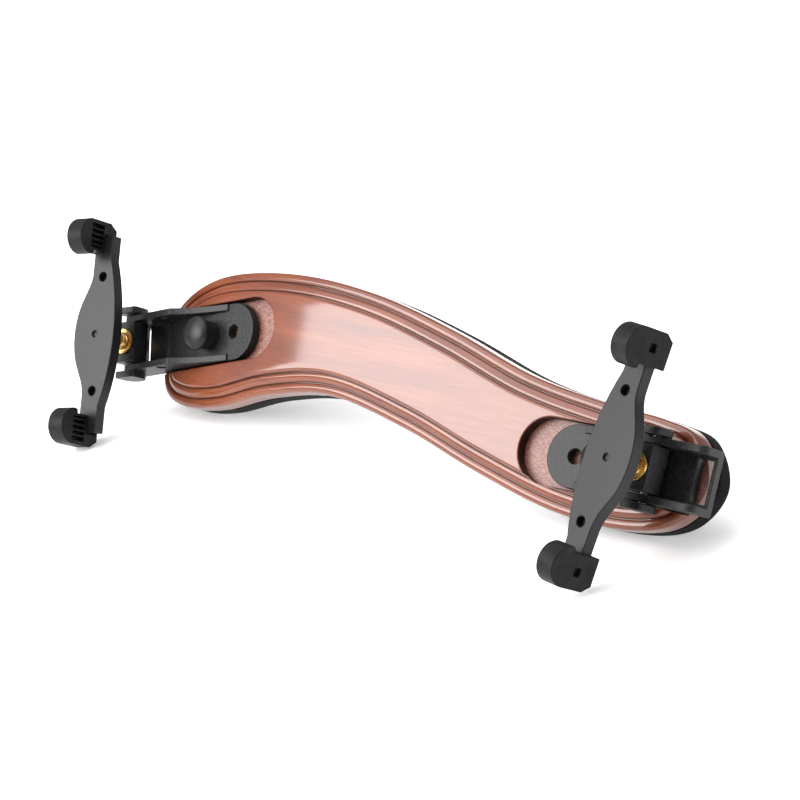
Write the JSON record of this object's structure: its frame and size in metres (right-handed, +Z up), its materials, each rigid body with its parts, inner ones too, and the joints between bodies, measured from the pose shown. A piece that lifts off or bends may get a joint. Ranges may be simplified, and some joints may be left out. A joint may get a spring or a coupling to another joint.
{
  "type": "violin shoulder rest",
  "caption": "Arched wooden violin shoulder rest with a foam pad and, at each end, a clamped bracket, a folding hinge, a brass height screw and a fork with rubber claws.",
  "frame": {"origin": "middle of the bounding box in X and Y, on the surface it stands on", "axes": "+X along the board towards its wide, straight end, +Z up, and -Y the side whose claws face the violin"},
  "size_m": [0.2392, 0.0754, 0.0695],
  "materials": {
    "wood": "gloss lacquer",
    "foam": "matte closed-cell foam",
    "plastic": "fine moulded grain",
    "rubber": "satin",
    "brass": "machined",
    "steel": "satin"
  },
  "bodies": {
    "board": {"wood_board": "wood", "foam_pad": "foam"},
    "left_bracket": {"left_bracket": "plastic", "left_clamp_nut": "steel"},
    "left_knob": {"left_clamp_knob": "plastic", "left_clamp_stud": "steel"},
    "left_hinge": {"left_hinge_block": "plastic", "left_threaded_insert": "brass", "left_hinge_pin_upper": "steel", "left_hinge_pin_lower": "steel", "left_hinge_cap_upper": "plastic", "left_hinge_cap_lower": "plastic"},
    "left_screw": {"left_height_screw": "brass"},
    "left_fork": {"left_fork_plate": "plastic", "left_claw_upper": "rubber", "left_claw_lower": "rubber"},
    "right_bracket": {"right_bracket": "plastic", "right_clamp_nut": "steel"},
    "right_knob": {"right_clamp_knob": "plastic", "right_clamp_stud": "steel"},
    "right_hinge": {"right_hinge_block": "plastic", "right_threaded_insert": "brass", "right_hinge_pin_upper": "steel", "right_hinge_pin_lower": "steel", "right_hinge_cap_upper": "plastic", "right_hinge_cap_lower": "plastic"},
    "right_screw": {"right_height_screw": "brass"},
    "right_fork": {"right_fork_plate": "plastic", "right_claw_upper": "rubber", "right_claw_lower": "rubber"}
  },
  "joints": [
    {"name": "left_bracket_slide", "type": "slide", "parent": "board", "child": "left_bracket", "axis": [-0.9575, -0.0605, -0.282], "range_m": [-0.004, 0.004]},
    {"name": "left_knob_turn", "type": "hinge", "parent": "left_bracket", "child": "left_knob", "pos_m": [-0.0784, 0.01502, 0.02837], "axis": [-0.0869, -0.8719, 0.4819], "range_deg": [-540, 180]},
    {"name": "left_fold", "type": "hinge", "parent": "left_bracket", "child": "left_hinge", "pos_m": [-0.10806, 0.00864, 0.02227], "axis": [0.2751, -0.4859, -0.8296], "range_deg": [-35, 90]},
    {"name": "left_height", "type": "slide", "parent": "left_hinge", "child": "left_screw", "axis": [0.064, -0.8517, 0.5201], "range_m": [-0.0024, 0.0048]},
    {"name": "left_fork_turn", "type": "hinge", "parent": "left_screw", "child": "left_fork", "pos_m": [-0.10678, -0.00839, 0.03267], "axis": [0.064, -0.8517, 0.5201], "range_deg": [-1080, 2160]},
    {"name": "right_bracket_slide", "type": "slide", "parent": "board", "child": "right_bracket", "axis": [0.9974, 0.0725, 0.0024], "range_m": [-0.004, 0.004]},
    {"name": "right_knob_turn", "type": "hinge", "parent": "right_bracket", "child": "right_knob", "pos_m": [0.08518, 0.00848, 0.02192], "axis": [0.0596, -0.8379, 0.5426], "range_deg": [-540, 180]},
    {"name": "right_fold", "type": "hinge", "parent": "right_bracket", "child": "right_hinge", "pos_m": [0.10225, 0.00534, 0.02478], "axis": [-0.0413, 0.5411, 0.84], "range_deg": [-30, 55]},
    {"name": "right_height", "type": "slide", "parent": "right_hinge", "child": "right_screw", "axis": [-0.1404, -0.8355, 0.5313], "range_m": [-0.0024, 0.0048]},
    {"name": "right_fork_turn", "type": "hinge", "parent": "right_screw", "child": "right_fork", "pos_m": [0.09967, -0.01003, 0.03455], "axis": [-0.1404, -0.8355, 0.5313], "range_deg": [-1080, 2160]}
  ],
  "couplings": [
    {"joint": "left_height", "follows": "left_fork_turn", "m_per_rad": 0.00012732},
    {"joint": "right_height", "follows": "right_fork_turn", "m_per_rad": 0.00012732}
  ]
}
